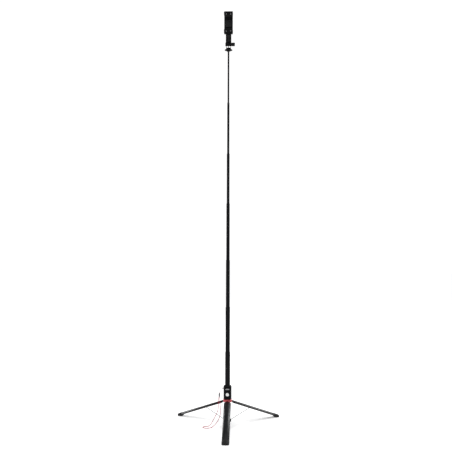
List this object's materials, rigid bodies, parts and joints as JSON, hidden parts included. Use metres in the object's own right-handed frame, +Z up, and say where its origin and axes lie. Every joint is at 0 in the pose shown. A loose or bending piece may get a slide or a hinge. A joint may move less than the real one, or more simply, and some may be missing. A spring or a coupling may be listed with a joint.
{
  "type": "tripod selfie stick",
  "caption": "Selfie stick standing on a folding tripod, with a telescopic pole, tilting head, sprung phone clamp, lift-out remote and wrist strap.",
  "frame": {"origin": "on the floor under the middle of the footprint, so the pole stands a little behind it on the +Y side", "axes": "+Z up along the pole, -Y towards the front leg and the remote's button, +X to the right seen from the front"},
  "size_m": [0.4372, 0.3804, 1.6925],
  "materials": {
    "black_anodised": "black satin anodised",
    "black_plastic": "fine satin",
    "red_ring": "satin gloss",
    "steel": "bright",
    "sleeve_plastic": "natural",
    "rubber": "matt",
    "grey_rubber": "matt",
    "grey_plastic": "satin",
    "white_button": "gloss",
    "strap_cord": "braided",
    "string_cord": "twisted",
    "bead_plastic": "satin",
    "circuit_board": "solder mask",
    "switch_metal": "plain"
  },
  "bodies": {
    "hub": {"hub_ring": "red_ring", "leg_pins": "steel", "guide_bushes": "sleeve_plastic", "body_front_shell": "black_plastic", "body_rear_shell": "black_plastic", "body_top_collar": "black_plastic", "body_screws": "steel", "strap_eyelet": "black_plastic", "strap_string": "string_cord", "strap_bead": "bead_plastic", "strap_loop": "strap_cord"},
    "leg_front": {"leg_front": "black_plastic", "foot_front": "rubber"},
    "leg_left": {"leg_left": "black_plastic", "foot_left": "rubber"},
    "leg_right": {"leg_right": "black_plastic", "foot_right": "rubber"},
    "strut_front": {"strut_front": "steel"},
    "strut_left": {"strut_left": "steel"},
    "strut_right": {"strut_right": "steel"},
    "pole_base": {"tube_1": "black_anodised", "spider": "black_plastic"},
    "pole_2": {"tube_2": "black_anodised", "sleeve_2": "sleeve_plastic"},
    "pole_3": {"tube_3": "black_anodised", "sleeve_3": "sleeve_plastic"},
    "pole_4": {"tube_4": "black_anodised", "sleeve_4": "sleeve_plastic"},
    "pole_5": {"tube_5": "black_anodised", "sleeve_5": "sleeve_plastic"},
    "pole_6": {"tube_6": "black_anodised", "sleeve_6": "sleeve_plastic"},
    "pole_7": {"tube_7": "black_anodised", "sleeve_7": "sleeve_plastic", "pole_cap": "black_plastic", "swivel_rivet": "steel"},
    "yoke": {"yoke": "black_plastic", "tilt_bolt": "steel"},
    "tilt_knob": {"tilt_knob": "black_plastic"},
    "arm": {"arm_frame": "black_plastic", "arm_cover": "grey_plastic"},
    "clamp": {"clamp_base": "black_plastic", "clamp_back": "black_plastic", "clamp_pivot_screw": "steel", "clamp_screws": "steel", "clamp_back_pad": "grey_rubber", "lower_jaw_pad": "rubber", "jaw_springs": "steel"},
    "upper_jaw": {"clamp_slider": "black_plastic", "upper_jaw_pad": "rubber", "upper_jaw_screws": "steel"},
    "remote": {"remote_front_case": "black_plastic", "remote_back_case": "black_plastic", "battery_door": "black_plastic", "coin_cell": "steel", "remote_pcb": "circuit_board", "tact_switch": "switch_metal", "remote_badge": "grey_plastic"},
    "shutter_button": {"shutter_button": "white_button"}
  },
  "joints": [
    {"name": "leg_front_fold", "type": "hinge", "parent": "hub", "child": "leg_front", "pos_m": [0, 0.04313, 0.09895], "axis": [1, 0, 0], "range_deg": [0, 68]},
    {"name": "leg_left_fold", "type": "hinge", "parent": "hub", "child": "leg_left", "pos_m": [-0.01178, 0.06353, 0.09895], "axis": [-0.5, -0.866, 0], "range_deg": [0, 68]},
    {"name": "leg_right_fold", "type": "hinge", "parent": "hub", "child": "leg_right", "pos_m": [0.01178, 0.06353, 0.09895], "axis": [-0.5, 0.866, 0], "range_deg": [0, 68]},
    {"name": "strut_front_swing", "type": "hinge", "parent": "leg_front", "child": "strut_front", "pos_m": [0, -0.05515, 0.05924], "axis": [1, 0, 0], "range_deg": [-136, 0]},
    {"name": "strut_left_swing", "type": "hinge", "parent": "leg_left", "child": "strut_left", "pos_m": [-0.09689, 0.11267, 0.05924], "axis": [-0.5, -0.866, 0], "range_deg": [-136, 0]},
    {"name": "strut_right_swing", "type": "hinge", "parent": "leg_right", "child": "strut_right", "pos_m": [0.09689, 0.11267, 0.05924], "axis": [-0.5, 0.866, 0], "range_deg": [-136, 0]},
    {"name": "pole_drop", "type": "hinge", "parent": "strut_front", "child": "pole_base", "pos_m": [0, 0.04313, 0.01954], "axis": [1, 0, 0], "range_deg": [0, 68]},
    {"name": "pole_2_slide", "type": "slide", "parent": "pole_base", "child": "pole_2", "axis": [0, 0, 1], "range_m": [-0.18192, 0]},
    {"name": "pole_3_slide", "type": "slide", "parent": "pole_2", "child": "pole_3", "axis": [0, 0, 1], "range_m": [-0.18992, 0]},
    {"name": "pole_4_slide", "type": "slide", "parent": "pole_3", "child": "pole_4", "axis": [0, 0, 1], "range_m": [-0.22992, 0]},
    {"name": "pole_5_slide", "type": "slide", "parent": "pole_4", "child": "pole_5", "axis": [0, 0, 1], "range_m": [-0.20192, 0]},
    {"name": "pole_6_slide", "type": "slide", "parent": "pole_5", "child": "pole_6", "axis": [0, 0, 1], "range_m": [-0.20692, 0]},
    {"name": "pole_7_slide", "type": "slide", "parent": "pole_6", "child": "pole_7", "axis": [0, 0, 1], "range_m": [-0.20892, 0]},
    {"name": "head_pan", "type": "hinge", "parent": "pole_7", "child": "yoke", "pos_m": [0, 0.05673, 1.54795], "axis": [0, 0, 1], "continuous": true},
    {"name": "head_tilt", "type": "hinge", "parent": "yoke", "child": "arm", "pos_m": [0, 0.05673, 1.56495], "axis": [1, 0, 0], "range_deg": [-90, 90]},
    {"name": "tilt_lock_turn", "type": "hinge", "parent": "yoke", "child": "tilt_knob", "pos_m": [0, 0.05673, 1.56495], "axis": [1, 0, 0], "range_deg": [-270, 0]},
    {"name": "clamp_turn", "type": "hinge", "parent": "arm", "child": "clamp", "pos_m": [0, 0.05673, 1.6487], "axis": [0, 1, 0], "range_deg": [-90, 90]},
    {"name": "jaw_slide", "type": "slide", "parent": "clamp", "child": "upper_jaw", "axis": [0, 0, 1], "range_m": [0, 0.03], "stiffness_N_per_m": 150, "springref_m": -0.03, "deforming": ["jaw_springs"]},
    {"name": "remote_lift_out", "type": "slide", "parent": "hub", "child": "remote", "axis": [0, -1, 0], "range_m": [0, 0.03]},
    {"name": "shutter_press", "type": "slide", "parent": "remote", "child": "shutter_button", "axis": [0, 1, 0], "range_m": [0, 0.0004], "stiffness_N_per_m": 1500, "springref_m": -0.0004}
  ],
  "couplings": [
    {"joint": "strut_front_swing", "follows": "leg_front_fold", "ratio": -2},
    {"joint": "strut_left_swing", "follows": "leg_front_fold", "ratio": -2},
    {"joint": "leg_left_fold", "follows": "leg_front_fold", "ratio": 1},
    {"joint": "strut_right_swing", "follows": "leg_front_fold", "ratio": -2},
    {"joint": "leg_right_fold", "follows": "leg_front_fold", "ratio": 1},
    {"joint": "pole_drop", "follows": "leg_front_fold", "ratio": 1}
  ]
}
